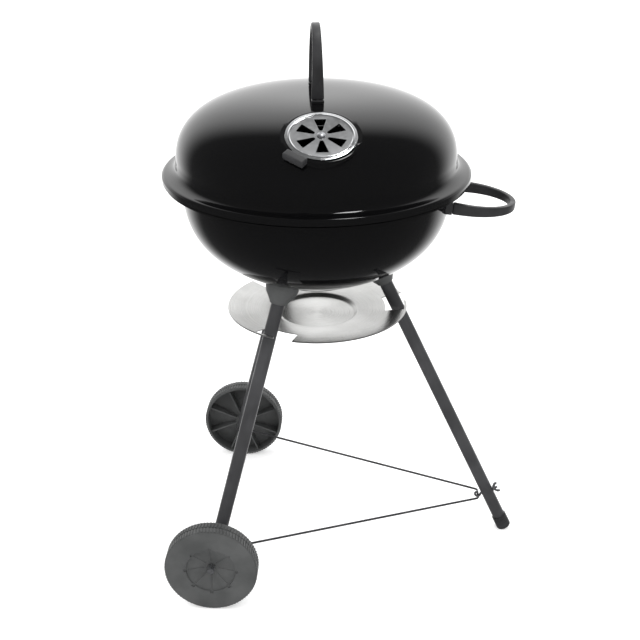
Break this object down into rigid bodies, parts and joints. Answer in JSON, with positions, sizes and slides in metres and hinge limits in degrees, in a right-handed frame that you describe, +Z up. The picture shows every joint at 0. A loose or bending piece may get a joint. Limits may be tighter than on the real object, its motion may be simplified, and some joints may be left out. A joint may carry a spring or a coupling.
{
  "type": "kettle charcoal grill",
  "caption": "Round kettle charcoal grill with a domed vented lid and deep bowl on a tripod of tube legs, with wheels, wire brace, ash tray and loop handles.",
  "frame": {"origin": "on the ground, under the middle of the whole grill's box; the kettle's own axis is 47.3 mm towards -X", "axes": "+Z up; +X towards the foot leg and the bowl handle; -Y towards the lid vent and the front wheel"},
  "size_m": [0.5434, 0.473, 0.8281],
  "materials": {
    "enamel": "glossy black porcelain enamel",
    "chrome": "bright chrome plate",
    "black_plastic": "moulded black plastic",
    "grey_plastic": "moulded dark grey plastic",
    "tube_finish": "dark grey satin powder coat",
    "zinc": "bright zinc plate",
    "brushed_aluminium": "brushed sheet",
    "dark_wire": "dark plated wire",
    "grate_plate": "nickel-plated wire"
  },
  "bodies": {
    "stand": {"bowl_shell": "enamel", "bowl_handle": "black_plastic", "bowl_handle_block_front": "black_plastic", "bowl_handle_block_back": "black_plastic", "bowl_handle_screw_front": "zinc", "bowl_handle_screw_back": "zinc", "bowl_vent_rivet": "zinc", "grate_support_1": "zinc", "grate_support_2": "zinc", "grate_support_3": "zinc", "leg_socket_foot": "grey_plastic", "leg_socket_front": "grey_plastic", "leg_socket_back": "grey_plastic", "leg_screw_foot": "zinc", "leg_screw_front": "zinc", "leg_screw_back": "zinc", "leg_plug_foot": "black_plastic", "leg_plug_front": "black_plastic", "leg_plug_back": "black_plastic", "leg_foot": "tube_finish", "leg_front": "tube_finish", "leg_back": "tube_finish", "foot_cap": "black_plastic", "axle": "zinc", "axle_washer_front": "zinc", "axle_washer_back": "zinc", "axle_cap_front": "zinc", "axle_cap_back": "zinc", "brace_wire": "dark_wire", "brace_hook_bolt": "zinc", "brace_wing_nut": "zinc"},
    "lid": {"lid_shell": "enamel", "lid_vent_rivet": "zinc", "lid_handle": "black_plastic", "lid_handle_pad_front": "black_plastic", "lid_handle_pad_back": "black_plastic", "lid_handle_screw_front": "zinc", "lid_handle_screw_back": "zinc"},
    "lid_vent": {"lid_vent_disc": "chrome", "lid_vent_grip": "black_plastic"},
    "bowl_vent": {"bowl_vent_disc": "brushed_aluminium", "bowl_vent_grip": "black_plastic"},
    "cooking_grate": {"cooking_grate": "grate_plate"},
    "charcoal_grate": {"charcoal_grate": "dark_wire"},
    "ash_tray": {"ash_tray": "brushed_aluminium"},
    "wheel_front": {"wheel_front": "grey_plastic"},
    "wheel_back": {"wheel_back": "grey_plastic"}
  },
  "joints": [
    {"name": "lid_lift", "type": "slide", "parent": "stand", "child": "lid", "axis": [0, 0, 1], "range_m": [0, 0.3]},
    {"name": "lid_vent_turn", "type": "hinge", "parent": "lid", "child": "lid_vent", "pos_m": [-0.03261, -0.14739, 0.70978], "axis": [0.0396, -0.3968, 0.9171], "range_deg": [0, 30]},
    {"name": "bowl_vent_turn", "type": "hinge", "parent": "stand", "child": "bowl_vent", "pos_m": [-0.04732, 0, 0.4538], "axis": [0, 0, 1], "range_deg": [0, 30]},
    {"name": "cooking_grate_lift", "type": "slide", "parent": "stand", "child": "cooking_grate", "axis": [0, 0, 1], "range_m": [0, 0.09]},
    {"name": "charcoal_grate_lift", "type": "slide", "parent": "stand", "child": "charcoal_grate", "axis": [0, 0, 1], "range_m": [0, 0.045]},
    {"name": "ash_tray_twist", "type": "hinge", "parent": "stand", "child": "ash_tray", "pos_m": [-0.04732, 0, 0.403], "axis": [0, 0, -1], "range_deg": [0, 13.5]},
    {"name": "wheel_front_spin", "type": "hinge", "parent": "stand", "child": "wheel_front", "pos_m": [-0.19532, -0.22, 0.0696], "axis": [0, 1, 0], "continuous": true},
    {"name": "wheel_back_spin", "type": "hinge", "parent": "stand", "child": "wheel_back", "pos_m": [-0.19532, 0.22, 0.0696], "axis": [0, 1, 0], "continuous": true}
  ]
}
